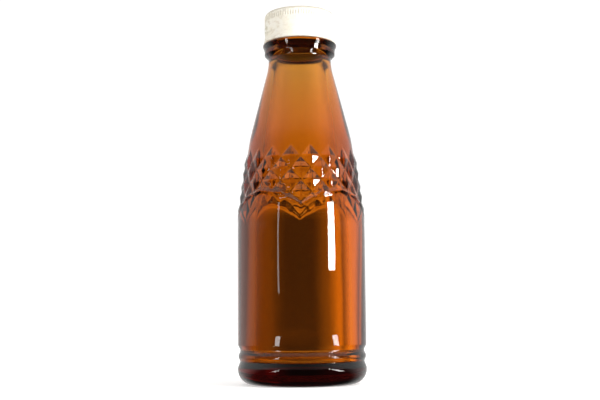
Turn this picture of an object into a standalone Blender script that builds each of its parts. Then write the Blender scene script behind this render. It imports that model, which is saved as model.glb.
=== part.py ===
"""Small amber glass bottle with a metal screw cap, as three separate pieces: the bottle, the cap's shell
and the sealing liner inside it. Metres, +Z up, the base stands on z = 0 and the axis is the Z axis."""

import math

import bmesh
import bpy
from mathutils import Matrix

MM = 0.001

# Overall sizes
BODY_R = 26.0 * MM
HEEL_R = 26.1 * MM
NECK_R = 13.0 * MM
FINISH_R = 12.6 * MM
BORE_R = 9.6 * MM
BEAD_R = 15.35 * MM
BEAD_TOP = 139.95 * MM
RIM_TOP = 151.4 * MM
CAP_BOTTOM = 140.3 * MM
CAP_TOP = 153.5 * MM
CAP_R = 14.7 * MM
SHEET = 0.45 * MM

# Base: a foot ring round a shallow push-up
HEEL_FILLET = 6.2 * MM
FOOT_INNER_R = 18.2 * MM
FOOT_EDGE = 0.3 * MM
PUSH_UP = 2.2 * MM
PUSH_UP_R = 13.0 * MM
PUSH_UP_FLAT_R = 9.0 * MM
PUSH_UP_FILLET = 4.0 * MM

# Two grooves with a rib between them, above the flared heel
HEEL_FLARE_TOP = 7.0 * MM
LOWER_GROOVE_Z = 9.4 * MM
RIB_BOTTOM = 11.0 * MM
RIB_TOP = 12.0 * MM
UPPER_GROOVE_BOTTOM = 13.3 * MM
UPPER_GROOVE_TOP = 14.2 * MM
CYLINDER_BOTTOM = 15.9 * MM
CYLINDER_TOP = 62.0 * MM
GROOVE_R = 25.15 * MM
RIB_R = 25.8 * MM
RING_FILLET = 0.3 * MM
SOFT_FILLET = 0.5 * MM

# Inside of the glass: thick walls, a thicker floor
INNER_BODY_R = 19.9 * MM
INNER_NECK_R = 9.7 * MM
INNER_SHOULDER_Z = 68.0 * MM
INNER_SHOULDER_FILLET = 50.0 * MM
BORE_BOTTOM = 140.0 * MM
BORE_FILLET = 20.0 * MM
FLOOR_TOP = 7.2 * MM
FLOOR_CROWN = 0.8 * MM
FLOOR_FILLET = 4.0 * MM
FLOOR_FLAT_R = 8.0 * MM

# Shoulder: the ground between the diamonds is a straight cone that bends into the steeper neck cone
GROUND_Z = 66.0 * MM
GROUND_R = 25.7 * MM
GROUND_SLOPE = 0.1385
SHOULDER_BEND_Z = 99.9 * MM
SHOULDER_FILLET = 60.0 * MM
NECK_Z = 130.7 * MM
NECK_FILLET = 20.0 * MM

# Transfer bead under the cap
NECK_TOP = 134.0 * MM
BEAD_FOOT_R = 14.65 * MM
BEAD_FOOT_BOTTOM = 135.6 * MM
BEAD_FOOT_TOP = 137.6 * MM
BEAD_FOOT_FILLET = 2.0 * MM
BEAD_BOTTOM = 139.4 * MM
BEAD_EDGE = 0.25 * MM

# Diamond band: cells of four facets, half a cell is one step
CELLS_AROUND = 18
CELL_HALF_ANGLE = math.pi / CELLS_AROUND
CELL_HALF_HEIGHT = 4.8 * MM
DIAMOND_TOP = 94.95 * MM
DIAMOND_RISE = 0.95 * MM
STEP_UP = 0.75 * MM
PLAIN_BLEND = 0.35 * MM
BAND_BOTTOM = 64.5 * MM
BAND_ROWS = 12

# Arches under the diamonds: four, two on the front and two on the back
ARCH_PEAK_Z = 76.6 * MM
ARCH_DROP = 11.1 * MM
ARCH_PEAK_ANGLE = math.radians(37.5)
ARCH_HALF_WIDTH = math.radians(52.5)
ARCH_POWER = 1.8
ARCH_EDGE = 1.6 * MM

# Thread: right-handed, shared by the bottle and the cap
PITCH = 4.23 * MM
THREAD_Z = 143.2 * MM
THREAD_TURNS = 1.4
THREAD_R = 13.65 * MM
THREAD_ROOT = 0.3 * MM
THREAD_HALF_BASE = 1.1 * MM
THREAD_HALF_CREST = 0.45 * MM
CAP_THREAD_TURNS = 1.2
CAP_THREAD_LATER = 0.19
CAP_THREAD_R = 12.97 * MM
CAP_THREAD_DROP = 1.42 * MM
CAP_THREAD_HALF_BASE = 0.95 * MM
CAP_THREAD_HALF_CREST = 0.3 * MM
RUN_OUT = math.radians(30.0)
THREAD_STEP = math.radians(12.0)

# Cap details
CURL_R = 14.95 * MM
CURL_HEIGHT = 1.2 * MM
CAP_CORNER = 2.2 * MM
KNURLS = 84
KNURL_BOTTOM = 149.2 * MM
KNURL_TOP = 151.2 * MM
KNURL_DEPTH = 0.25 * MM
KNURL_LEAD_IN = 0.2 * MM
CURL_EDGE = 0.25 * MM
CURL_FLAT = 0.8
LIP_EDGE = 0.15 * MM
CAP_FLAT_R = 6.0 * MM

# Liner
LINER_R = 13.2 * MM
LINER_BOTTOM = 151.7 * MM
LINER_TOP = 152.7 * MM
LINER_EDGE = 0.2 * MM
LINER_FLAT_R = 8.0 * MM

COARSE = 36
FINE = 2 * COARSE
ARC_STEP = math.radians(24.0)
LINER_ARC_STEP = math.radians(45.0)
SHARP_ANGLE = math.radians(35.0)
THREAD_END = 0.05


def clear_scene():
    for old in list(bpy.data.objects):
        bpy.data.objects.remove(old, do_unlink=True)


def make_material(name, colour, roughness, metallic=0.0, transmission=0.0):
    material = bpy.data.materials.new(name)
    material.use_nodes = True
    shader = material.node_tree.nodes["Principled BSDF"]
    shader.inputs["Base Color"].default_value = (*colour, 1.0)
    shader.inputs["Roughness"].default_value = roughness
    shader.inputs["Metallic"].default_value = metallic
    shader.inputs["Transmission Weight"].default_value = transmission
    return material


def rounded(corners, arc_step=ARC_STEP):
    """An outline of (radius, height) through corners given as (radius, height, fillet)."""
    points = [corners[0][:2]]
    for before, corner, after in zip(corners, corners[1:], corners[2:]):
        fillet = corner[2]
        if fillet == 0.0:
            points.append(corner[:2])
            continue
        to_a = (before[0] - corner[0], before[1] - corner[1])
        to_b = (after[0] - corner[0], after[1] - corner[1])
        heading_a = math.atan2(to_a[1], to_a[0])
        heading_b = math.atan2(to_b[1], to_b[0])
        spread = (heading_b - heading_a + math.pi) % (2.0 * math.pi) - math.pi
        turn = math.pi - abs(spread)
        tangent = fillet * math.tan(turn / 2.0)
        middle = heading_a + spread / 2.0
        reach = math.hypot(fillet, tangent)
        centre = (corner[0] + reach * math.cos(middle), corner[1] + reach * math.sin(middle))
        start = math.atan2(
            corner[1] + tangent * math.sin(heading_a) - centre[1],
            corner[0] + tangent * math.cos(heading_a) - centre[0],
        )
        steps = max(1, math.ceil(turn / arc_step))
        sense = -1.0 if spread > 0.0 else 1.0
        for step in range(steps + 1):
            angle = start + sense * turn * step / steps
            points.append((centre[0] + fillet * math.cos(angle), centre[1] + fillet * math.sin(angle)))
    points.append(corners[-1][:2])
    return points


def round_ring(radius, height, count):
    """Points once round the axis at one height."""
    return [
        (radius * math.cos(turn), radius * math.sin(turn), height)
        for turn in (2.0 * math.pi * index / count for index in range(count))
    ]


def bridge(bm, lower, upper, choose_diagonal):
    """Triangles between two rings, whose counts are equal or differ by a factor of two."""
    if len(lower) == len(upper):
        count = len(lower)
        for index in range(count):
            after = (index + 1) % count
            a, b, c, d = lower[index], lower[after], upper[after], upper[index]
            if choose_diagonal(index):
                bm.faces.new((a, b, c))
                bm.faces.new((a, c, d))
            else:
                bm.faces.new((a, b, d))
                bm.faces.new((b, c, d))
        return
    wide_is_lower = len(lower) > len(upper)
    many, few = (lower, upper) if wide_is_lower else (upper, lower)
    for index in range(len(few)):
        after = (index + 1) % len(few)
        left, middle = many[2 * index], many[2 * index + 1]
        right = many[(2 * index + 2) % len(many)]
        fan = ((left, middle, few[index]), (middle, few[after], few[index]), (middle, right, few[after]))
        for face in fan:
            bm.faces.new(face if wide_is_lower else face[::-1])


def skin(rings, first_pole, last_pole, diagonals=None):
    """One closed surface: a pole, rings from first to last, and a pole.
    Outside is to the right of the path."""
    bm = bmesh.new()
    loops = [[bm.verts.new(point) for point in ring] for ring in rings]
    diagonals = diagonals or {}
    for number, (lower, upper) in enumerate(zip(loops, loops[1:])):
        bridge(bm, lower, upper, diagonals.get(number, lambda index: True))
    for height, loop, flip in ((first_pole, loops[0], True), (last_pole, loops[-1], False)):
        pole = bm.verts.new((0.0, 0.0, height))
        for index, vertex in enumerate(loop):
            after = loop[(index + 1) % len(loop)]
            bm.faces.new((pole, after, vertex) if flip else (vertex, after, pole))
    return bm


def add_piece(name, bm, material, origin_z=0.0):
    """Makes an object from a bmesh built in world coordinates, with its origin on the axis at origin_z."""
    bmesh.ops.transform(bm, matrix=Matrix.Translation((0.0, 0.0, -origin_z)), verts=bm.verts)
    mesh = bpy.data.meshes.new(name)
    bm.to_mesh(mesh)
    bm.free()
    mesh.shade_smooth()
    mesh.set_sharp_from_angle(angle=SHARP_ANGLE)
    mesh.materials.append(material)
    piece = bpy.data.objects.new(name, mesh)
    bpy.context.scene.collection.objects.link(piece)
    piece.location.z = origin_z
    return piece


def thread_ridge(turns, start_turn, start_z, root_r, crest_r, half_base, half_crest):
    """A helical ridge with a trapezoid section, whose crest sinks back into the wall at both ends."""
    bm = bmesh.new()
    total = 2.0 * math.pi * turns
    steps = math.ceil(total / THREAD_STEP)
    sections = []
    for step in range(steps + 1):
        along = total * step / steps
        fade = min(1.0, along / RUN_OUT, (total - along) / RUN_OUT)
        turn = 2.0 * math.pi * start_turn + along
        height = start_z + PITCH * along / (2.0 * math.pi)
        crest = root_r + (crest_r - root_r) * max(fade, THREAD_END)
        corners = ((root_r, -half_base), (crest, -half_crest), (crest, half_crest), (root_r, half_base))
        sections.append([
            bm.verts.new((r * math.cos(turn), r * math.sin(turn), height + dz)) for r, dz in corners
        ])
    for near, far in zip(sections, sections[1:]):
        for side in range(4):
            after = (side + 1) % 4
            bm.faces.new((near[side], near[after], far[after], far[side]))
    bm.faces.new(sections[0][::-1])
    bm.faces.new(sections[-1])
    bmesh.ops.recalc_face_normals(bm, faces=bm.faces)
    return bm


def join_ridge(piece, ridge):
    """Unites a ridge with a piece, and keeps the ridge itself out of the result."""
    ridge.hide_render = True
    ridge.display_type = "WIRE"
    union = piece.modifiers.new("thread", "BOOLEAN")
    union.operation = "UNION"
    union.solver = "EXACT"
    union.object = ridge


def ground_radius(z):
    return GROUND_R - GROUND_SLOPE * (z - GROUND_Z)


def plain_radius(z):
    """The plain wall under the arches: the cylinder, rounded into a cone that is STEP_UP above the ground."""
    cone = ground_radius(z) + STEP_UP
    return BODY_R - PLAIN_BLEND * math.log1p(math.exp((BODY_R - cone) / PLAIN_BLEND))


def arch_height(turn):
    """Height of the band's lower border at an angle from the front."""
    folded = abs((turn + math.pi) % (2.0 * math.pi) - math.pi)
    folded = min(folded, math.pi - folded)
    away = abs(folded - ARCH_PEAK_ANGLE) / ARCH_HALF_WIDTH
    return ARCH_PEAK_Z - ARCH_DROP * away**ARCH_POWER


def facet_height(u, v):
    """Height of the four-sided pyramids, from 0 in the valleys to 1 at the points. u counts half cells round
    from the front, v counts half cells up from the band's top edge."""
    total, difference = u + v, u - v
    near_total = 2.0 * round(total / 2.0)
    near_difference = 2.0 * round(difference / 2.0)
    if near_total - near_difference > -1.0:
        return 0.0
    return max(0.0, 1.0 - max(abs(total - near_total), abs(difference - near_difference)))


def band_radius(turn_from_front, z):
    u = turn_from_front / CELL_HALF_ANGLE
    v = (z - DIAMOND_TOP) / CELL_HALF_HEIGHT
    share = min(1.0, max(0.0, 0.5 + (z - arch_height(turn_from_front)) / ARCH_EDGE))
    carved = ground_radius(z) + DIAMOND_RISE * facet_height(u, v)
    return share * carved + (1.0 - share) * plain_radius(z)


def band_diagonal(row):
    """Splits each square of the band, a quarter cell wide, along a valley where one runs through it."""

    def choose(index):
        quarters_round = index + FINE // 4
        return (quarters_round + row) % 4 == 2

    return choose


def build_bottle(material):
    """The front of the bottle faces -Y."""
    foot_outer = HEEL_R - HEEL_FILLET
    lower = rounded([
        (PUSH_UP_FLAT_R, PUSH_UP, 0.0),
        (PUSH_UP_R, PUSH_UP, PUSH_UP_FILLET),
        (FOOT_INNER_R, 0.0, FOOT_EDGE),
        (foot_outer - FOOT_EDGE, 0.0, 0.0),
        (HEEL_R, 0.0, HEEL_FILLET),
        (HEEL_R, HEEL_FLARE_TOP, SOFT_FILLET),
        (GROOVE_R, LOWER_GROOVE_Z, RING_FILLET),
        (RIB_R, RIB_BOTTOM, RING_FILLET),
        (RIB_R, RIB_TOP, RING_FILLET),
        (GROOVE_R, UPPER_GROOVE_BOTTOM, RING_FILLET),
        (GROOVE_R, UPPER_GROOVE_TOP, RING_FILLET),
        (BODY_R, CYLINDER_BOTTOM, SOFT_FILLET),
        (BODY_R, CYLINDER_TOP, 0.0),
    ])
    bend_r = ground_radius(SHOULDER_BEND_Z)
    upper = rounded([
        (ground_radius(DIAMOND_TOP), DIAMOND_TOP, 0.0),
        (bend_r, SHOULDER_BEND_Z, SHOULDER_FILLET),
        (NECK_R, NECK_Z, NECK_FILLET),
        (NECK_R, NECK_TOP, SOFT_FILLET),
        (BEAD_FOOT_R, BEAD_FOOT_BOTTOM, SOFT_FILLET),
        (BEAD_FOOT_R, BEAD_FOOT_TOP, BEAD_FOOT_FILLET),
        (BEAD_R, BEAD_BOTTOM, BEAD_EDGE),
        (BEAD_R, BEAD_TOP, BEAD_EDGE),
        (FINISH_R, BEAD_TOP, 0.0),
        (FINISH_R, RIM_TOP, SOFT_FILLET),
        (BORE_R, RIM_TOP, SOFT_FILLET),
        (BORE_R, BORE_BOTTOM, BORE_FILLET),
        (INNER_NECK_R, NECK_Z, NECK_FILLET),
        (INNER_BODY_R, INNER_SHOULDER_Z, INNER_SHOULDER_FILLET),
        (INNER_BODY_R, FLOOR_TOP, FLOOR_FILLET),
        (FLOOR_FLAT_R, FLOOR_TOP + FLOOR_CROWN, 0.0),
    ])
    rings = [round_ring(radius, z, COARSE) for radius, z in lower]
    first_band = len(rings)
    heights = [DIAMOND_TOP - 0.5 * CELL_HALF_HEIGHT * row for row in range(BAND_ROWS, -1, -1)]
    rings.append(round_ring(plain_radius(BAND_BOTTOM), BAND_BOTTOM, FINE))
    for z in heights:
        ring = []
        for index in range(FINE):
            turn = 2.0 * math.pi * index / FINE
            radius = band_radius(turn + math.pi / 2.0, z)
            ring.append((radius * math.cos(turn), radius * math.sin(turn), z))
        rings.append(ring)
    diagonals = {first_band + 1 + number: band_diagonal(BAND_ROWS - number) for number in range(BAND_ROWS)}
    rings += [round_ring(radius, z, COARSE) for radius, z in upper[1:]]
    bm = skin(rings, PUSH_UP, FLOOR_TOP + FLOOR_CROWN, diagonals)
    bottle = add_piece("bottle", bm, material)
    ridge = thread_ridge(
        THREAD_TURNS, 0.0, THREAD_Z, FINISH_R - THREAD_ROOT, THREAD_R, THREAD_HALF_BASE, THREAD_HALF_CREST
    )
    join_ridge(bottle, add_piece("bottle_thread_guide", ridge, material))
    return bottle


def knurled_ring(radius, z, count):
    """A ring whose every second point is pressed in."""
    ring = []
    for index in range(count):
        turn = 2.0 * math.pi * index / count
        reach = radius - (KNURL_DEPTH if index % 2 else 0.0)
        ring.append((reach * math.cos(turn), reach * math.sin(turn), z))
    return ring


def build_cap_shell(material):
    inner_r = CAP_R - SHEET
    inside = rounded([
        (CAP_FLAT_R, CAP_TOP - SHEET, 0.0),
        (inner_r, CAP_TOP - SHEET, CAP_CORNER - SHEET),
        (inner_r, CAP_BOTTOM, LIP_EDGE),
        (CAP_R, CAP_BOTTOM, 0.0),
    ])[:-1]
    skirt = rounded([
        (inner_r, CAP_BOTTOM, 0.0),
        (CURL_R, CAP_BOTTOM, CURL_EDGE),
        (CURL_R, CAP_BOTTOM + CURL_FLAT * CURL_HEIGHT, CURL_EDGE),
        (CAP_R, CAP_BOTTOM + CURL_HEIGHT, CURL_EDGE),
        (CAP_R, KNURL_BOTTOM, 0.0),
    ])[1:-1]
    crown = rounded([
        (CAP_R, KNURL_TOP, 0.0),
        (CAP_R, CAP_TOP, CAP_CORNER),
        (CAP_FLAT_R, CAP_TOP, 0.0),
    ])[1:]
    inside_count, outside_count = KNURLS // 2, KNURLS
    rings = [round_ring(radius, z, inside_count) for radius, z in inside]
    rings += [round_ring(radius, z, outside_count) for radius, z in skirt]
    rings.append(round_ring(CAP_R, KNURL_BOTTOM - KNURL_LEAD_IN, outside_count))
    rings.append(knurled_ring(CAP_R, KNURL_BOTTOM, 2 * KNURLS))
    rings.append(knurled_ring(CAP_R, KNURL_TOP, 2 * KNURLS))
    rings += [round_ring(radius, z, outside_count) for radius, z in crown]
    bm = skin(rings, CAP_TOP - SHEET, CAP_TOP)
    shell = add_piece("cap_shell", bm, material, CAP_BOTTOM)
    start_z = THREAD_Z + PITCH * CAP_THREAD_LATER - CAP_THREAD_DROP
    ridge = thread_ridge(
        CAP_THREAD_TURNS, CAP_THREAD_LATER, start_z, CAP_R - SHEET / 2.0, CAP_THREAD_R,
        CAP_THREAD_HALF_BASE, CAP_THREAD_HALF_CREST,
    )
    guide = add_piece("cap_thread_guide", ridge, material, CAP_BOTTOM)
    join_ridge(shell, guide)
    return shell


def build_liner(material):
    outline = rounded([
        (LINER_FLAT_R, LINER_BOTTOM, 0.0),
        (LINER_R, LINER_BOTTOM, LINER_EDGE),
        (LINER_R, LINER_TOP, LINER_EDGE),
        (LINER_FLAT_R, LINER_TOP, 0.0),
    ], LINER_ARC_STEP)
    rings = [round_ring(radius, z, COARSE) for radius, z in outline]
    return add_piece("cap_liner", skin(rings, LINER_BOTTOM, LINER_TOP), material, LINER_BOTTOM)


def build():
    clear_scene()
    build_bottle(make_material("amber_glass", (0.36, 0.11, 0.015), 0.04, transmission=1.0))
    build_cap_shell(make_material("white_lacquered_metal", (0.86, 0.84, 0.76), 0.38, metallic=0.1))
    build_liner(make_material("liner_board", (0.72, 0.68, 0.58), 0.75))


build()
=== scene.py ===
import math

import bpy
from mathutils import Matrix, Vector


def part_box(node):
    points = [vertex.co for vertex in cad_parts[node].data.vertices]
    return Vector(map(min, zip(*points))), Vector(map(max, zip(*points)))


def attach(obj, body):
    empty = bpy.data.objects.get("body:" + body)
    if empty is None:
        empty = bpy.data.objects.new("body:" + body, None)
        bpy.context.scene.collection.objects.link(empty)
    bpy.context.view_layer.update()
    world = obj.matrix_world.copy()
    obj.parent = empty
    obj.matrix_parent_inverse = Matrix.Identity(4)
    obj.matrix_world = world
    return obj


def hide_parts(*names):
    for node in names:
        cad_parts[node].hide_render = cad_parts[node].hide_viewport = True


# The looks of a small amber glass bottle with a white lacquered screw cap. Metres, +Z up, front towards -Y.

MM = 0.001
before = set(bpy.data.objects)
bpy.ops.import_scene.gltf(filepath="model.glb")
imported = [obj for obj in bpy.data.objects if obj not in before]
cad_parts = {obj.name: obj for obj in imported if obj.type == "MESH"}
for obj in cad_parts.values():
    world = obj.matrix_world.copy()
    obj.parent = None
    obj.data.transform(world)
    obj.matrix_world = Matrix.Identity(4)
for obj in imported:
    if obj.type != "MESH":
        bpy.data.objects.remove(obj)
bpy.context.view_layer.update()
bottle_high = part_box("bottle")[1]
cap_low, cap_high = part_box("cap_shell")
liner_low, liner_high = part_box("cap_liner")

# Sizes that the frame gives
HEEL_R = bottle_high.x
RIM_TOP = bottle_high.z
CAP_BOTTOM = cap_low.z
CAP_TOP = cap_high.z
CURL_R = cap_high.x
LINER_R = liner_high.x
LINER_BOTTOM = liner_low.z
LINER_TOP = liner_high.z

# Outside of the bottle
BODY_R = HEEL_R - 0.1 * MM
NECK_R = BODY_R / 2.0
FINISH_R = 12.6 * MM
BEAD_R = 15.35 * MM
BEAD_TOP = CAP_BOTTOM - 0.35 * MM
HEEL_FILLET = 6.2 * MM
HEEL_TOP = 7.0 * MM
FOOT_INNER_R = 18.2 * MM
FOOT_ROUND = 0.3 * MM
PUSH_UP = 2.2 * MM
PUSH_UP_START_R = 9.0 * MM
PUSH_UP_R = 13.0 * MM
PUSH_UP_ROUND = 4.0 * MM
GROOVE_R = 25.15 * MM
GROOVE_Z = 9.4 * MM
RIB_R = 25.8 * MM
RIB_LOW = 11.0 * MM
RIB_HIGH = 12.0 * MM
UPPER_GROOVE_LOW = 13.3 * MM
UPPER_GROOVE_HIGH = 14.2 * MM
RING_ROUND = 0.4 * MM
SOFT_ROUND = 0.6 * MM
CYLINDER_BOTTOM = 15.9 * MM
CYLINDER_TOP = 64.0 * MM

# Underside of the bead, and the mouth
BEAD_UNDER_R = 14.65 * MM
BEAD_UNDER_START = 134.0 * MM
BEAD_UNDER_LOW = 135.6 * MM
BEAD_UNDER_HIGH = 137.6 * MM
BEAD_LOW = 139.4 * MM
BEAD_UNDER_ROUND = 2.0 * MM
BEAD_ROUND = 0.25 * MM
MOUTH_LIP = 0.8 * MM
MOUTH_ROUND = 0.5 * MM

# Inside of the bottle
BORE_R = 9.6 * MM
BORE_TOP = 148.0 * MM
BORE_LOW = 140.0 * MM
INNER_SHOULDER_ROUND = 50.0 * MM
NECK_ROUND = 20.0 * MM
FLOOR_ROUND = 4.0 * MM
FLOOR_CROWN_R = 8.0 * MM
INNER_NECK_R = 9.7 * MM
INNER_BODY_R = 19.9 * MM
INNER_SHOULDER_Z = 68.0 * MM
FLOOR_TOP = 7.2 * MM
FLOOR_CROWN = 0.8 * MM
INNER_WAVE = 0.16 * MM

# Shoulder
GROUND_Z = 66.0 * MM
GROUND_R = BODY_R - 0.3 * MM
GROUND_SLOPE = 0.1385
SHOULDER_BEND_Z = 99.9 * MM
SHOULDER_ROUND = 60.0 * MM
NECK_Z = 130.7 * MM
PLAIN_BLEND = 0.35 * MM

# Diamond band
CELL_HALF_ANGLE = math.radians(10.0)
CELL_HALF_HEIGHT = 4.8 * MM
CELL_STEPS = 8
DIAMOND_TOP = 94.95 * MM
DIAMOND_RISE = 0.95 * MM
STEP_UP = 0.75 * MM
BAND_HALF_CELLS = 6.5
FACET_SOFTNESS = 14.0

# Arches under the diamonds
ARCH_PEAK_Z = 76.6 * MM
ARCH_DROP = 11.1 * MM
ARCH_PEAK_ANGLE = math.radians(37.5)
ARCH_HALF_WIDTH = math.radians(52.5)
ARCH_POWER = 1.8
ARCH_EDGE = 1.6 * MM
ARCH_RIB = 0.55 * MM
ARCH_RIB_WIDTH = 0.75 * MM

# Thread, the same on the glass and in the cap
PITCH = 4.23 * MM
THREAD_Z = 143.2 * MM
THREAD_TURNS = 1.4
THREAD_R = 13.65 * MM
THREAD_HALF_BASE = 1.1 * MM
THREAD_HALF_CREST = 0.45 * MM
CAP_THREAD_TURNS = 1.2
CAP_THREAD_LATER = 0.19
CAP_THREAD_R = 12.97 * MM
CAP_THREAD_DROP = 1.42 * MM
CAP_THREAD_HALF_BASE = 0.95 * MM
CAP_THREAD_HALF_CREST = 0.3 * MM
CAP_GROOVE = 0.12 * MM
RUN_OUT = math.radians(30.0)
THREAD_ROW = 0.36 * MM

# Cap
CAP_R = CURL_R - 0.25 * MM
SHEET = 0.45 * MM
CURL_HEIGHT = 1.2 * MM
CAP_CORNER = 2.2 * MM
CURL_ROUND = 0.45 * MM
CROWN_HEIGHT = 3.0 * MM
CROWN_START_R = 6.0 * MM
WALL_START = 0.4 * MM
INNER_WALL_START = 0.6 * MM
INNER_WALL_ENDS = 3.6 * MM      # the crown above the inner wall and the start below it
DENT = 0.05 * MM
KNURLS = 84
KNURL_BOTTOM = CAP_TOP - 4.3 * MM
KNURL_TOP = CAP_TOP - 1.7 * MM
KNURL_DEPTH = 0.3 * MM

COLUMNS = 36 * CELL_STEPS
CAP_COLUMNS = 6 * KNURLS
ARC_STEP = math.radians(9.0)
WIDE_ARC_STEP = math.radians(12.0)
MOUTH_ARC_STEP = math.radians(18.0)
CURL_ARC_STEP = math.radians(20.0)
LONGEST_ROW = 3.0 * MM
LONG_ROW = 5.0 * MM
CAP_ROWS = 26
LINER_COLUMNS = 144

# Colour that one metre of the glass takes away, as an absorption colour and density. These numbers, the tint
# and the studio's light were fitted together to one photograph. None of them was measured.
GLASS_LOSS = (75.0, 170.0, 390.0)
GLASS_DENSITY = max(GLASS_LOSS) * 1.02
GLASS_DEPTH_COLOUR = (*[1.0 - loss / GLASS_DENSITY for loss in GLASS_LOSS], 1.0)
GLASS_IOR = 1.52
GLASS_HAZE = 0.03
GLASS_RIPPLE = 0.12
GLASS_RIPPLE_DEPTH = 0.6 * MM
GLASS_TINT = (0.92, 0.79, 0.50)
GLASS_TINT_STREAK = (0.95, 0.84, 0.58)

# Studio, fixed in place: a round neutral tent that only the glass shows, and white lights
TENT_R = 300.0 * MM
TENT_SIDES = 96
TENT_LOW = 0.5 * MM
TENT_HIGH = 350.0 * MM
TENT_DIM = 0.12
TENT_FRONT = 0.5
TENT_BRIGHT = 1.1
# Where the tent's light changes, in millimetres: from, to and, with a third number, how much is added
TENT_LEFT_NEAR = (-24.0, -80.0, 0.27)
TENT_LEFT_FAR = (-150.0, -225.0, 0.6)
TENT_RIGHT_NEAR = (22.0, 80.0, 0.8)
TENT_RIGHT_FAR = (110.0, 212.0, 2.0)
TENT_STRIP_IN = (58.0, 90.0)
TENT_STRIP_OUT = (118.0, 92.0, 1.5)
TENT_BACK_FOOT = (0.0, 20.0)
TENT_FRONT_FOOT = (70.0, 0.0, 0.3)
TENT_FRONT_TO_BACK = (-80.0, 60.0)
TENT_BRIGHT_START = (108.0, 130.0)
TENT_BRIGHT_LOW = (175.0, 128.0, 0.45)
TENT_BRIGHT_RIGHT = (0.0, 80.0, 0.55)
TENT_BRIGHT_END = (190.0, 212.0)
NEUTRAL = (1.0, 0.995, 0.985)
WHITE = (1.0, 1.0, 1.0)
FLOOR_HALF = 6.0
FLOOR_LIFT = 0.45
FLOOR_GLOW_Z = 0.5 * MM

# Strength of the world to each kind of ray. In reflections it rises from low in front to behind and above.
WORLD_TO_CAMERA = 1.08
WORLD_TO_MATT = 0.62
WORLD_THROUGH_GLASS = 0.9
WORLD_REFLECTED = {"From Min": -0.35, "From Max": 0.55, "To Min": 0.03, "To Max": 0.8}
WORLD_REFLECTED_RISE = 1.2

# Camera: low in front of the bottle, tipped up, with the picture turned by half a degree
CAMERA_PLACE = (-0.8 * MM, -420.7 * MM, 26.6 * MM)
CAMERA_PITCH = math.radians(96.556)
CAMERA_ROLL = math.radians(0.49)
CAMERA_LENS = 61.6


# Outlines and surfaces ------------------------------------------------------------------------------------

def rounded(corners, arc_step=ARC_STEP):
    """An outline of (radius, height) through corners given as (radius, height, fillet)."""
    points = [corners[0][:2]]
    for before, corner, after in zip(corners, corners[1:], corners[2:]):
        fillet = corner[2]
        if fillet == 0.0:
            points.append(corner[:2])
            continue
        heading_a = math.atan2(before[1] - corner[1], before[0] - corner[0])
        heading_b = math.atan2(after[1] - corner[1], after[0] - corner[0])
        spread = (heading_b - heading_a + math.pi) % (2.0 * math.pi) - math.pi
        turn = math.pi - abs(spread)
        tangent = fillet * math.tan(turn / 2.0)
        middle = heading_a + spread / 2.0
        reach = math.hypot(fillet, tangent)
        centre = (corner[0] + reach * math.cos(middle), corner[1] + reach * math.sin(middle))
        start = math.atan2(
            corner[1] + tangent * math.sin(heading_a) - centre[1],
            corner[0] + tangent * math.cos(heading_a) - centre[0],
        )
        steps = max(2, math.ceil(turn / arc_step))
        sense = -1.0 if spread > 0.0 else 1.0
        for step in range(steps + 1):
            angle = start + sense * turn * step / steps
            points.append((centre[0] + fillet * math.cos(angle), centre[1] + fillet * math.sin(angle)))
    points.append(corners[-1][:2])
    return points


def divided(points, longest=LONGEST_ROW):
    """The same outline with long straight stretches cut into rows."""
    result = [points[0]]
    for near, far in zip(points, points[1:]):
        parts = max(1, math.ceil(math.dist(near, far) / longest))
        for part in range(1, parts + 1):
            share = part / parts
            result.append((near[0] + (far[0] - near[0]) * share, near[1] + (far[1] - near[1]) * share))
    return result


def ring(height, count, radius_at):
    """Points once round the axis, whose radius is a function of the angle from +X."""
    points = []
    for index in range(count):
        turn = 2.0 * math.pi * index / count
        radius = radius_at(turn)
        points.append((radius * math.cos(turn), radius * math.sin(turn), height))
    return points


def plain_ring(radius, height, count):
    return ring(height, count, lambda turn: radius)


def make_piece(name, rings, first_pole, last_pole, split=None):
    """A closed surface of rings between two poles. split(row, column) is None for a four-sided face,
    or says which way the face is cut."""
    count = len(rings[0])
    points = [point for one in rings for point in one]
    points += [(0.0, 0.0, first_pole), (0.0, 0.0, last_pole)]
    faces = []
    for row in range(len(rings) - 1):
        for index in range(count):
            a = row * count + index
            b = row * count + (index + 1) % count
            c, d = b + count, a + count
            way = split(row, index) if split else None
            if way is None:
                faces.append((a, b, c, d))
            elif way:
                faces += [(a, b, c), (a, c, d)]
            else:
                faces += [(a, b, d), (b, c, d)]
    last = (len(rings) - 1) * count
    for index in range(count):
        after = (index + 1) % count
        faces.append((len(points) - 2, after, index))
        faces.append((last + index, last + after, len(points) - 1))
    mesh = bpy.data.meshes.new(name)
    mesh.from_pydata(points, [], faces)
    mesh.shade_smooth()
    piece = bpy.data.objects.new(name, mesh)
    bpy.context.scene.collection.objects.link(piece)
    return piece


# The shape of the glass -----------------------------------------------------------------------------------

def ground_radius(z):
    return GROUND_R - GROUND_SLOPE * (z - GROUND_Z)


def plain_radius(z):
    """The plain wall under the arches: the cylinder, rounded into a cone."""
    cone = ground_radius(z) + STEP_UP
    return BODY_R - PLAIN_BLEND * math.log1p(math.exp((BODY_R - cone) / PLAIN_BLEND))


def arch_height(turn):
    """Height of the band's lower border at an angle from the front."""
    folded = abs((turn + math.pi) % (2.0 * math.pi) - math.pi)
    folded = min(folded, math.pi - folded)
    away = abs(folded - ARCH_PEAK_ANGLE) / ARCH_HALF_WIDTH
    return ARCH_PEAK_Z - ARCH_DROP * away**ARCH_POWER


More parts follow.
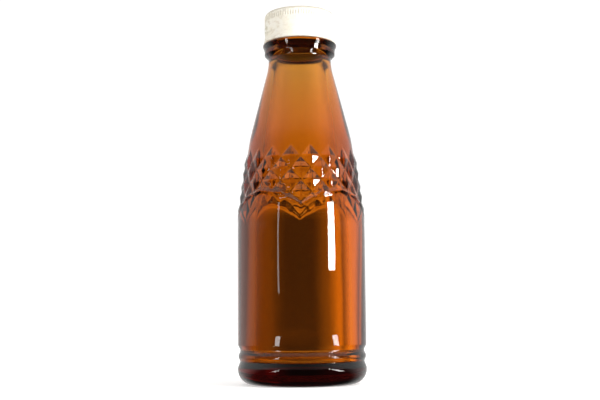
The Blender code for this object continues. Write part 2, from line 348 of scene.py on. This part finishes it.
def facet_height(u, v):
    """Pyramids with softened ridges: 0 in the valleys, 1 at the points, in half cells round and up."""
    total, difference = u + v, u - v
    near_total = 2.0 * round(total / 2.0)
    near_difference = 2.0 * round(difference / 2.0)
    if near_total - near_difference > -1.0:
        return 0.0
    one = abs(total - near_total) ** FACET_SOFTNESS
    other = abs(difference - near_difference) ** FACET_SOFTNESS
    return max(0.0, 1.0 - (one + other) ** (1.0 / FACET_SOFTNESS))


def band_radius(turn, z):
    """The diamonds above the arches, the plain wall below them, and a thin rib along the border."""
    from_front = turn + math.pi / 2.0
    over = z - arch_height(from_front)
    share = min(1.0, max(0.0, 0.5 + over / ARCH_EDGE))
    share = share * share * (3.0 - 2.0 * share)
    facet = facet_height(from_front / CELL_HALF_ANGLE, (z - DIAMOND_TOP) / CELL_HALF_HEIGHT)
    carved = ground_radius(z) + DIAMOND_RISE * facet
    rib = ARCH_RIB * math.exp(-((over / ARCH_RIB_WIDTH) ** 2))
    return min(BODY_R, share * carved + (1.0 - share) * plain_radius(z) + rib)


def thread_rise(turn, z, start_turn, start_z, turns, half_base, half_crest):
    """How far the thread has risen at a place, from 0 at its root to 1 on its crest."""
    total = 2.0 * math.pi * turns
    first = (turn - 2.0 * math.pi * start_turn) % (2.0 * math.pi)
    highest = 0.0
    for lap in range(math.ceil(turns)):
        along = first + 2.0 * math.pi * lap
        if along > total:
            continue
        fade = min(1.0, along / RUN_OUT, (total - along) / RUN_OUT)
        away = abs(z - start_z - PITCH * along / (2.0 * math.pi))
        flank = min(1.0, max(0.0, (half_base - away) / (half_base - half_crest)))
        highest = max(highest, flank * fade)
    return highest


def finish_radius(turn, z):
    rise = thread_rise(turn, z, 0.0, THREAD_Z, THREAD_TURNS, THREAD_HALF_BASE, THREAD_HALF_CREST)
    return FINISH_R + (THREAD_R - FINISH_R) * rise


def inner_wave(turn, z):
    """The slow unevenness of a blown wall."""
    tall = z / (30.0 * MM)
    return (
        math.sin(2.0 * turn + 0.9 * tall)
        + 0.6 * math.sin(3.0 * turn - 1.3 * tall + 1.1)
        + 0.35 * math.sin(7.0 * turn + 0.5 * tall + 2.3)
    )


def build_glass():
    lower = divided(rounded([
        (PUSH_UP_START_R, PUSH_UP, 0.0),
        (PUSH_UP_R, PUSH_UP, PUSH_UP_ROUND),
        (FOOT_INNER_R, 0.0, FOOT_ROUND),
        (HEEL_R - HEEL_FILLET - FOOT_ROUND, 0.0, 0.0),
        (HEEL_R, 0.0, HEEL_FILLET),
        (HEEL_R, HEEL_TOP, SOFT_ROUND),
        (GROOVE_R, GROOVE_Z, RING_ROUND),
        (RIB_R, RIB_LOW, RING_ROUND),
        (RIB_R, RIB_HIGH, RING_ROUND),
        (GROOVE_R, UPPER_GROOVE_LOW, RING_ROUND),
        (GROOVE_R, UPPER_GROOVE_HIGH, RING_ROUND),
        (BODY_R, CYLINDER_BOTTOM, SOFT_ROUND),
        (BODY_R, CYLINDER_TOP - SOFT_ROUND, 0.0),
    ]), LONG_ROW)
    upper = divided(rounded([
        (ground_radius(DIAMOND_TOP), DIAMOND_TOP, 0.0),
        (ground_radius(SHOULDER_BEND_Z), SHOULDER_BEND_Z, SHOULDER_ROUND),
        (NECK_R, NECK_Z, NECK_ROUND),
        (NECK_R, BEAD_UNDER_START, SOFT_ROUND),
        (BEAD_UNDER_R, BEAD_UNDER_LOW, MOUTH_ROUND),
        (BEAD_UNDER_R, BEAD_UNDER_HIGH, BEAD_UNDER_ROUND),
        (BEAD_R, BEAD_LOW, BEAD_ROUND),
        (BEAD_R, BEAD_TOP, BEAD_ROUND),
        (FINISH_R, BEAD_TOP, 0.0),
    ], WIDE_ARC_STEP))
    mouth = divided(rounded([
        (FINISH_R, RIM_TOP - MOUTH_LIP, 0.0),
        (FINISH_R, RIM_TOP, MOUTH_ROUND),
        (BORE_R, RIM_TOP, MOUTH_ROUND),
        (BORE_R, BORE_TOP, 0.0),
    ], MOUTH_ARC_STEP))
    inside = divided(rounded([
        (BORE_R, BORE_TOP, 0.0),
        (BORE_R, BORE_LOW, NECK_ROUND),
        (INNER_NECK_R, NECK_Z, NECK_ROUND),
        (INNER_BODY_R, INNER_SHOULDER_Z, INNER_SHOULDER_ROUND),
        (INNER_BODY_R, FLOOR_TOP, FLOOR_ROUND),
        (FLOOR_CROWN_R, FLOOR_TOP + FLOOR_CROWN, 0.0),
    ], WIDE_ARC_STEP), LONG_ROW)[1:]

    rings = [plain_ring(radius, z, COLUMNS) for radius, z in lower]
    first_band = len(rings)
    band_rows = round(BAND_HALF_CELLS * CELL_STEPS)
    for row in range(band_rows, -1, -1):
        z = DIAMOND_TOP - CELL_HALF_HEIGHT * row / CELL_STEPS
        rings.append(ring(z, COLUMNS, lambda turn: band_radius(turn, z)))
    rings += [plain_ring(radius, z, COLUMNS) for radius, z in upper[1:]]
    thread_rows = round((RIM_TOP - MOUTH_LIP - BEAD_TOP) / THREAD_ROW)
    for row in range(1, thread_rows):
        z = BEAD_TOP + THREAD_ROW * row
        rings.append(ring(z, COLUMNS, lambda turn: finish_radius(turn, z)))
    rings += [plain_ring(radius, z, COLUMNS) for radius, z in mouth]
    for radius, z in inside:
        share = (radius - BORE_R) / (INNER_BODY_R - BORE_R)
        wave = INNER_WAVE * max(0.0, min(1.0, share))
        rings.append(ring(z, COLUMNS, lambda turn: radius - wave * (1.0 + inner_wave(turn, z))))

    def split(row, index):
        """Cuts each face of the band along the valley of its diamond."""
        if not first_band <= row < first_band + band_rows:
            return None
        across = (index + 0.5 + COLUMNS / 4) // CELL_STEPS
        below = (first_band + band_rows - row - 0.5) // CELL_STEPS
        return (across - below) % 2 == 0

    return make_piece("bottle_glass", rings, PUSH_UP, FLOOR_TOP + FLOOR_CROWN, split)


# The shape of the cap and its liner -----------------------------------------------------------------------

def cap_thread(turn, z):
    start_z = THREAD_Z + PITCH * CAP_THREAD_LATER - CAP_THREAD_DROP
    return thread_rise(
        turn, z, CAP_THREAD_LATER, start_z, CAP_THREAD_TURNS, CAP_THREAD_HALF_BASE, CAP_THREAD_HALF_CREST
    )


def knurl(turn, z):
    """Pressed-in ticks that start and end softly."""
    middle = (KNURL_BOTTOM + KNURL_TOP) / 2.0
    half = (KNURL_TOP - KNURL_BOTTOM) / 2.0
    reach = max(0.0, 1.0 - (abs(z - middle) / half) ** 4)
    return KNURL_DEPTH * reach * (0.5 - 0.5 * math.cos(KNURLS * turn))


def dent(turn, z):
    """The slight unevenness of a thin pressed cap that has been screwed on and off."""
    return DENT * (math.sin(3.0 * turn + 0.4) + 0.6 * math.sin(5.0 * turn + z / (4.0 * MM)) - 1.6)


def build_cap():
    inner_r = CAP_R - SHEET
    inner_top = rounded([
        (CROWN_START_R, CAP_TOP - SHEET, 0.0),
        (inner_r, CAP_TOP - SHEET, CAP_CORNER - SHEET),
        (inner_r, CAP_TOP - CROWN_HEIGHT, 0.0),
    ])
    lip = rounded([
        (inner_r, CAP_BOTTOM + INNER_WALL_START, 0.0),
        (inner_r, CAP_BOTTOM, 0.15 * MM),
        (CURL_R, CAP_BOTTOM, CURL_ROUND),
        (CURL_R, CAP_BOTTOM + CURL_HEIGHT, CURL_ROUND),
        (CAP_R, CAP_BOTTOM + CURL_HEIGHT + 0.1 * MM, 0.1 * MM),
        (CAP_R, CAP_BOTTOM + CURL_HEIGHT + WALL_START, 0.0),
    ], CURL_ARC_STEP)
    crown = rounded([
        (CAP_R, CAP_TOP - CROWN_HEIGHT, 0.0),
        (CAP_R, CAP_TOP, CAP_CORNER),
        (CROWN_START_R, CAP_TOP, 0.0),
    ])
    rings = [plain_ring(radius, z, CAP_COLUMNS) for radius, z in inner_top]
    inner_height = CAP_TOP - CAP_BOTTOM - INNER_WALL_ENDS
    for row in range(1, CAP_ROWS):
        z = CAP_TOP - CROWN_HEIGHT - inner_height * row / CAP_ROWS
        inward = inner_r - CAP_THREAD_R
        rings.append(ring(z, CAP_COLUMNS, lambda turn: inner_r - inward * cap_thread(turn, z)))
    rings += [plain_ring(radius, z, CAP_COLUMNS) for radius, z in lip]
    low = CAP_BOTTOM + CURL_HEIGHT + WALL_START
    for row in range(1, CAP_ROWS):
        z = low + (CAP_TOP - CROWN_HEIGHT - low) * row / CAP_ROWS
        rings.append(ring(
            z, CAP_COLUMNS,
            lambda turn: CAP_R - CAP_GROOVE * cap_thread(turn, z) - knurl(turn, z) + dent(turn, z),
        ))
    for radius, z in crown[1:]:
        share = min(1.0, (CAP_TOP - z) / CROWN_HEIGHT)
        rings.append(ring(
            z - 0.04 * MM * (1.0 - share), CAP_COLUMNS,
            lambda turn: radius - knurl(turn, z) + dent(turn, z) * share,
        ))
    return make_piece("cap_lacquered_shell", rings, CAP_TOP - SHEET, CAP_TOP)


def build_liner():
    """A disc with a shallow ring pressed into it where the glass rim bears."""
    press_r = (FINISH_R + BORE_R) / 2.0
    outline = rounded([
        (press_r - 1.8 * MM, LINER_BOTTOM, 0.0),
        (press_r - 0.9 * MM, LINER_BOTTOM + 0.18 * MM, 0.6 * MM),
        (press_r + 0.9 * MM, LINER_BOTTOM + 0.18 * MM, 0.6 * MM),
        (press_r + 1.6 * MM, LINER_BOTTOM, 0.3 * MM),
        (LINER_R, LINER_BOTTOM, 0.2 * MM),
        (LINER_R, LINER_TOP, 0.2 * MM),
        (8.0 * MM, LINER_TOP, 0.0),
    ])
    rings = [plain_ring(radius, z, LINER_COLUMNS) for radius, z in outline]
    return make_piece("cap_liner_disc", rings, LINER_BOTTOM, LINER_TOP)


# Materials ------------------------------------------------------------------------------------------------

class Nodes:
    """Builds a material's nodes. An input is given by name as a value or as another node's output."""

    def __init__(self, name):
        self.material = bpy.data.materials.new(name)
        self.material.use_nodes = True
        self.tree = self.material.node_tree
        self.shader = self.tree.nodes["Principled BSDF"]
        self.output = self.tree.nodes["Material Output"]

    def link(self, node, inputs):
        for key, value in inputs.items():
            socket = node.inputs[key]
            if isinstance(value, bpy.types.NodeSocket):
                self.tree.links.new(value, socket)
            else:
                socket.default_value = value
        return node

    def add(self, kind, inputs=None, **settings):
        node = self.tree.nodes.new(kind)
        for key, value in settings.items():
            setattr(node, key, value)
        return self.link(node, inputs or {})

    def math(self, operation, a, b=0.0, clamp=False):
        node = self.add("ShaderNodeMath", operation=operation, use_clamp=clamp)
        return self.link(node, {0: a, 1: b}).outputs[0]

    def place(self):
        """Object coordinates in millimetres, and their three parts."""
        spot = self.add("ShaderNodeTexCoord").outputs["Object"]
        scaled = self.add("ShaderNodeVectorMath", {0: spot, "Scale": 1000.0}, operation="SCALE").outputs[0]
        parts = self.add("ShaderNodeSeparateXYZ", {0: scaled}).outputs
        return scaled, parts[0], parts[1], parts[2]

    def noise(self, vector, scale, detail=4.0, roughness=0.55, stretch=(1.0, 1.0, 1.0)):
        mapped = self.add("ShaderNodeMapping", {"Vector": vector, "Scale": stretch}).outputs[0]
        inputs = {"Vector": mapped, "Scale": scale, "Detail": detail, "Roughness": roughness}
        return self.add("ShaderNodeTexNoise", inputs).outputs[0]

    def band(self, value, low, high):
        """Rises smoothly from 0 at low to 1 at high, and falls where high is the lower of the two."""
        falls = low > high
        first, last = (high, low) if falls else (low, high)
        ends = {"From Min": first, "From Max": last, "To Min": float(falls), "To Max": float(not falls)}
        return self.add(
            "ShaderNodeMapRange", {"Value": value, **ends}, interpolation_type="SMOOTHSTEP"
        ).outputs[0]

    def step(self, value, low, high, amount):
        return self.math("MULTIPLY", self.band(value, low, high), amount)

    def mix(self, share, one, other):
        node = self.add("ShaderNodeMix", data_type="RGBA")
        for socket, value in ((node.inputs[0], share), (node.inputs[6], one), (node.inputs[7], other)):
            if isinstance(value, bpy.types.NodeSocket):
                self.tree.links.new(value, socket)
            else:
                socket.default_value = value if isinstance(value, float) else (*value, 1.0)
        return node.outputs[2]

    def bump(self, height, strength, distance):
        inputs = {"Height": height, "Strength": strength, "Distance": distance}
        return self.add("ShaderNodeBump", inputs).outputs[0]


def glass_material():
    """Amber glass: most of the colour is in its depth, with faint streaks, haze and surface ripple."""
    n = Nodes("amber_glass")
    spot = n.place()[0]
    streaks = n.noise(spot, 0.12, 3.0, 0.5, (1.0, 1.0, 0.22))
    haze = n.noise(spot, 0.5, 5.0, 0.6)
    ripple = n.noise(spot, 0.09, 2.0, 0.4, (1.0, 1.0, 0.5))
    tint = n.mix(n.band(streaks, 0.3, 0.7), GLASS_TINT, GLASS_TINT_STREAK)
    n.link(n.shader, {
        "Base Color": tint,
        "Roughness": n.math("MULTIPLY", haze, GLASS_HAZE),
        "Transmission Weight": 1.0,
        "IOR": GLASS_IOR,
        "Normal": n.bump(ripple, GLASS_RIPPLE, GLASS_RIPPLE_DEPTH),
    })
    absorbed = {"Color": GLASS_DEPTH_COLOUR, "Density": GLASS_DENSITY}
    depth = n.add("ShaderNodeVolumeAbsorption", absorbed)
    n.tree.links.new(depth.outputs[0], n.output.inputs["Volume"])
    return n.material


def lacquer_material():
    """Cream lacquer on sheet metal: scuffs towards the left, worn edges, short scratches and a stain, with
    painted shade inside the cap.
    """
    n = Nodes("white_lacquered_metal")
    spot, x, y, z = n.place()
    turn = n.math("ARCTAN2", x, n.math("MULTIPLY", y, -1.0))
    along = n.math("MULTIPLY", turn, CAP_R / MM)
    flat = n.add("ShaderNodeCombineXYZ", {0: along, 1: z}).outputs[0]
    blotch = n.noise(spot, 0.22, 4.0, 0.6)
    fine = n.noise(spot, 2.2, 5.0, 0.65)
    scuff = n.noise(spot, 0.5, 5.0, 0.62, (1.0, 1.0, 1.7))
    scratch = n.noise(flat, 1.3, 2.0, 0.5, (0.35, 2.4, 1.0))
    top, bottom = CAP_TOP / MM, CAP_BOTTOM / MM

    colour = n.mix(n.band(blotch, 0.35, 0.7), (0.87, 0.83, 0.73), (0.82, 0.76, 0.62))
    to_left = n.band(x, 2.0, -12.0)
    scuffed = n.math("MULTIPLY", n.band(scuff, 0.50, 0.64), to_left)
    colour = n.mix(n.math("MULTIPLY", scuffed, 0.45), colour, (0.60, 0.48, 0.35))
    outer = n.band(spot_radius(n, x, y), CAP_R / MM - 3.0, CAP_R / MM - 1.2)
    near_top = n.math("MULTIPLY", n.band(z, top - 3.2, top - 0.8), outer)
    edge = n.math("MULTIPLY", n.band(scuff, 0.50, 0.60), near_top)
    edge = n.math("MULTIPLY", edge, n.band(fine, 0.42, 0.56))
    colour = n.mix(n.math("MULTIPLY", edge, 0.55), colour, (0.42, 0.39, 0.35))
    low = n.band(z, bottom + 5.0, bottom + 1.5)
    lines = n.math("MULTIPLY", n.band(scratch, 0.64, 0.70), n.math("MAXIMUM", low, near_top))
    colour = n.mix(n.math("MULTIPLY", lines, 0.7), colour, (0.30, 0.28, 0.25))
    stain_x = n.band(x, -12.2, -14.4)
    stain_low = n.band(z, bottom + 2.0, bottom + 5.0)
    stain_z = n.math("MULTIPLY", stain_low, n.band(z, bottom + 9.5, bottom + 6.0))
    stain = n.math("MULTIPLY", n.math("MULTIPLY", stain_x, stain_z), n.band(scuff, 0.42, 0.60))
    colour = n.mix(n.math("MULTIPLY", stain, 0.6), colour, (0.42, 0.41, 0.26))
    # Painted shade: the inside and the underside of the cap are coloured a darker, duller tan, standing in
    # for the shade under the cap.
    inside = n.band(spot_radius(n, x, y), CAP_R / MM - 0.2, CAP_R / MM - 0.35)
    under = n.math("MULTIPLY", inside, n.band(z, top - 0.2, top - 0.4))
    colour = n.mix(under, colour, n.mix(fine, (0.55, 0.50, 0.40), (0.66, 0.61, 0.50)))
    worn = n.math("MAXIMUM", n.math("MULTIPLY", edge, 0.6), n.math("MULTIPLY", lines, 0.6))
    height = n.math("SUBTRACT", n.math("MULTIPLY", fine, 0.35), worn)
    n.link(n.shader, {
        "Base Color": colour,
        "Roughness": n.band(fine, 1.1, 0.0),
        "Metallic": n.math("MULTIPLY", worn, 0.7),
        "Coat Weight": 0.25,
        "Coat Roughness": 0.22,
        "Normal": n.bump(height, 0.35, 0.08 * MM),
    })
    return n.material


def spot_radius(n, x, y):
    """Distance from the axis in millimetres."""
    square = n.math("ADD", n.math("MULTIPLY", x, x), n.math("MULTIPLY", y, y))
    return n.math("SQRT", square)


def liner_material():
    """Pulp board with pressed fibres, darker where the rim bears."""
    n = Nodes("liner_board")
    spot, x, y = n.place()[:3]
    fibres = n.noise(spot, 2.6, 6.0, 0.7, (1.0, 0.45, 1.0))
    blotch = n.noise(spot, 0.35, 3.0, 0.5)
    radius = spot_radius(n, x, y)
    colour = n.mix(n.band(fibres, 0.3, 0.7), (0.60, 0.54, 0.42), (0.74, 0.69, 0.58))
    colour = n.mix(n.math("MULTIPLY", n.band(blotch, 0.5, 0.7), 0.5), colour, (0.52, 0.44, 0.31))
    pressed = n.math("MULTIPLY", n.band(radius, 9.0, 10.2), n.band(radius, 12.9, 12.0))
    colour = n.mix(n.math("MULTIPLY", pressed, 0.45), colour, (0.38, 0.30, 0.20))
    n.link(n.shader, {
        "Base Color": colour,
        "Roughness": n.band(fibres, 1.6, 0.2),
        "Normal": n.bump(fibres, 0.5, 0.1 * MM),
    })
    return n.material


# Studio ---------------------------------------------------------------------------------------------------

def glow_material(name, colour, strength):
    material = bpy.data.materials.new(name)
    material.use_nodes = True
    tree = material.node_tree
    tree.nodes.remove(tree.nodes["Principled BSDF"])
    glow = tree.nodes.new("ShaderNodeEmission")
    glow.inputs["Color"].default_value = (*colour, 1.0)
    glow.inputs["Strength"].default_value = strength
    tree.links.new(glow.outputs[0], tree.nodes["Material Output"].inputs["Surface"])
    return material


def stage_mesh(name, points, faces, material):
    mesh = bpy.data.meshes.new(name)
    mesh.from_pydata([tuple(point) for point in points], [], faces)
    mesh.materials.append(material)
    made = bpy.data.objects.new(name, mesh)
    bpy.context.scene.collection.objects.link(made)
    return made


def panel(name, corners, material):
    return stage_mesh(name, corners, [(0, 1, 2, 3)], material)


def around(azimuth, distance, height):
    """A place at an angle from the front, towards +X."""
    turn = math.radians(azimuth)
    return Vector((distance * math.sin(turn), -distance * math.cos(turn), height))


def only_for(made, glossy=False, transmission=False):
    """Hides a panel from everything but reflections or the view through glass."""
    made.visible_camera = False
    made.visible_diffuse = False
    made.visible_shadow = False
    made.visible_glossy = glossy
    made.visible_transmission = transmission


def window(name, azimuth, half_width, distance, low, high, strength):
    """An upright light that glass reflects as a tall streak, and that lights the cap and the floor. The
    camera and the view through the glass don't see it."""
    made = panel(name, [
        around(azimuth - half_width, distance, low),
        around(azimuth + half_width, distance, low),
        around(azimuth + half_width, distance, high),
        around(azimuth - half_width, distance, high),
    ], glow_material(name, WHITE, strength))
    made.visible_camera = False
    made.visible_transmission = False
    return made


def soft_light(name, **settings):
    """A wide light for the cap and the floor that shows in no reflection."""
    window(name, **settings).visible_glossy = False


def floor_glow(name, azimuth, half_width, near, far, strength):
    """The bright patch of floor under a window, seen only in reflections."""
    made = panel(name, [
        around(azimuth - half_width, near, FLOOR_GLOW_Z),
        around(azimuth + half_width, near, FLOOR_GLOW_Z),
        around(azimuth + half_width, far, FLOOR_GLOW_Z),
        around(azimuth - half_width, far, FLOOR_GLOW_Z),
    ], glow_material(name, WHITE, strength))
    only_for(made, glossy=True)


def light_tent():
    """A round neutral tent, fixed in place, that shows only through the glass. Its lower part is even in
    front and dim at the back, lighter to the right with one brighter strip, and less so to the left. Level
    with the neck it is bright all round, more so to the right, and dim above that.

    Its levels were placed to match the main view to the photograph. The dark middle of the body comes from
    here and not from the glass. From other sides it leaves a dark patch or a level line in the glass."""
    n = Nodes("light_tent")
    x, y, z = n.place()[1:]
    left = n.math("ADD", n.step(x, *TENT_LEFT_NEAR), n.step(x, *TENT_LEFT_FAR))
    right = n.math("ADD", n.step(x, *TENT_RIGHT_NEAR), n.step(x, *TENT_RIGHT_FAR))
    strip = n.math("MULTIPLY", n.band(x, *TENT_STRIP_IN), n.step(x, *TENT_STRIP_OUT))
    low = n.math("ADD", n.math("ADD", left, right), n.math("ADD", strip, TENT_DIM))
    low = mix_value(n.tree, n.band(z, *TENT_BACK_FOOT), TENT_FRONT, low)
    front = n.math("ADD", n.step(z, *TENT_FRONT_FOOT), TENT_FRONT)
    low = mix_value(n.tree, n.band(y, *TENT_FRONT_TO_BACK), front, low)
    high = n.math("ADD", n.step(z, *TENT_BRIGHT_LOW), n.step(x, *TENT_BRIGHT_RIGHT))
    high = n.math("ADD", high, TENT_BRIGHT)
    high = mix_value(n.tree, n.band(z, *TENT_BRIGHT_END), high, TENT_DIM)
    level = mix_value(n.tree, n.band(z, *TENT_BRIGHT_START), low, high)
    glow = n.add("ShaderNodeEmission", {"Color": (*NEUTRAL, 1.0), "Strength": level})
    n.tree.links.new(glow.outputs[0], n.output.inputs["Surface"])
    n.tree.nodes.remove(n.shader)
    points = []
    faces = []
    for side in range(TENT_SIDES):
        turn = 2.0 * math.pi * side / TENT_SIDES
        after = (side + 1) % TENT_SIDES
        for height in (TENT_LOW, TENT_HIGH):
            points.append((TENT_R * math.cos(turn), TENT_R * math.sin(turn), height))
        faces.append((2 * side, 2 * after, 2 * after + 1, 2 * side + 1))
    only_for(stage_mesh("light_tent", points, faces, n.material), transmission=True)


def build_floor():
    n = Nodes("pale_floor")
    spot = n.place()[0]
    grain = n.noise(spot, 0.02, 3.0, 0.5)
    on_camera = n.add("ShaderNodeLightPath").outputs["Is Camera Ray"]
    n.link(n.shader, {
        "Base Color": n.mix(grain, (0.93, 0.925, 0.915), (0.95, 0.945, 0.94)),
        "Roughness": 0.9,
        "Specular IOR Level": 0.0,
        "Emission Color": (*NEUTRAL, 1.0),
        "Emission Strength": n.math("MULTIPLY", on_camera, FLOOR_LIFT),
    })
    half = FLOOR_HALF
    floor = panel("floor", [
        (-half, -half, 0.0), (half, -half, 0.0), (half, half, 0.0), (-half, half, 0.0)
    ], n.material)
    floor.visible_glossy = False


def build_world():
    """A white room. Reflections see it dark low in front and soft from above and behind, and matt surfaces
    and the view through the glass get a softer share."""
    world = bpy.data.worlds.new("studio")
    bpy.context.scene.world = world
    world.use_nodes = True
    tree = world.node_tree
    background = tree.nodes["Background"]
    path = tree.nodes.new("ShaderNodeLightPath")
    spot = tree.nodes.new("ShaderNodeTexCoord")
    parts = tree.nodes.new("ShaderNodeSeparateXYZ")
    tree.links.new(spot.outputs["Generated"], parts.inputs[0])
    behind = tree.nodes.new("ShaderNodeMapRange")
    behind.interpolation_type = "SMOOTHSTEP"
    for key, value in WORLD_REFLECTED.items():
        behind.inputs[key].default_value = value
    raised = tree.nodes.new("ShaderNodeMath")
    raised.operation = "MULTIPLY_ADD"
    raised.inputs[1].default_value = WORLD_REFLECTED_RISE
    tree.links.new(parts.outputs[2], raised.inputs[0])
    tree.links.new(parts.outputs[1], raised.inputs[2])
    tree.links.new(raised.outputs[0], behind.inputs["Value"])
    matt = mix_value(tree, path.outputs["Is Diffuse Ray"], WORLD_TO_CAMERA, WORLD_TO_MATT)
    clear = mix_value(tree, path.outputs["Is Transmission Ray"], matt, WORLD_THROUGH_GLASS)
    level = mix_value(tree, path.outputs["Is Glossy Ray"], clear, behind.outputs[0])
    tree.links.new(level, background.inputs["Strength"])
    background.inputs["Color"].default_value = (*NEUTRAL, 1.0)


def mix_value(tree, share, one, other):
    node = tree.nodes.new("ShaderNodeMix")
    for socket, value in ((node.inputs[0], share), (node.inputs[2], one), (node.inputs[3], other)):
        if isinstance(value, bpy.types.NodeSocket):
            tree.links.new(value, socket)
        else:
            socket.default_value = value
    return node.outputs[0]


def build_studio():
    build_floor()
    build_world()
    light_tent()
    window("window_right", azimuth=54.5, half_width=6.5, distance=1.0, low=0.0915, high=0.36, strength=40.0)
    floor_glow("floor_glow_right", azimuth=59.0, half_width=5.0, near=0.06, far=0.8, strength=14.0)
    window("window_left", azimuth=-41.0, half_width=1.6, distance=1.0, low=0.06, high=0.36, strength=3.5)
    floor_glow("floor_glow_left", azimuth=-42.0, half_width=4.0, near=0.06, far=0.6, strength=8.0)
    soft_light("soft_right", azimuth=60.0, half_width=22.0, distance=1.4, low=0.5, high=1.5, strength=4.0)
    soft_light("soft_left", azimuth=-62.0, half_width=22.0, distance=1.4, low=0.1, high=1.2, strength=2.2)


def build_camera():
    lens = bpy.data.cameras.new("camera")
    lens.lens = CAMERA_LENS
    camera = bpy.data.objects.new("camera", lens)
    bpy.context.scene.collection.objects.link(camera)
    camera.rotation_mode = "XYZ"
    camera.location = CAMERA_PLACE
    camera.rotation_euler = (CAMERA_PITCH, CAMERA_ROLL, 0.0)
    bpy.context.scene.camera = camera


def set_light_paths():
    scene = bpy.context.scene
    scene.view_settings.view_transform = "Standard"
    scene.cycles.max_bounces = 24
    scene.cycles.transmission_bounces = 20
    scene.cycles.glossy_bounces = 12
    scene.cycles.sample_clamp_indirect = 6.0


def fit_piece(piece, material, body, node):
    piece.data.materials.append(material)
    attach(piece, body)
    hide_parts(node)


def build():
    fit_piece(build_glass(), glass_material(), "bottle", "bottle")
    fit_piece(build_cap(), lacquer_material(), "cap", "cap_shell")
    fit_piece(build_liner(), liner_material(), "liner", "cap_liner")
    build_studio()
    build_camera()
    set_light_paths()


build()
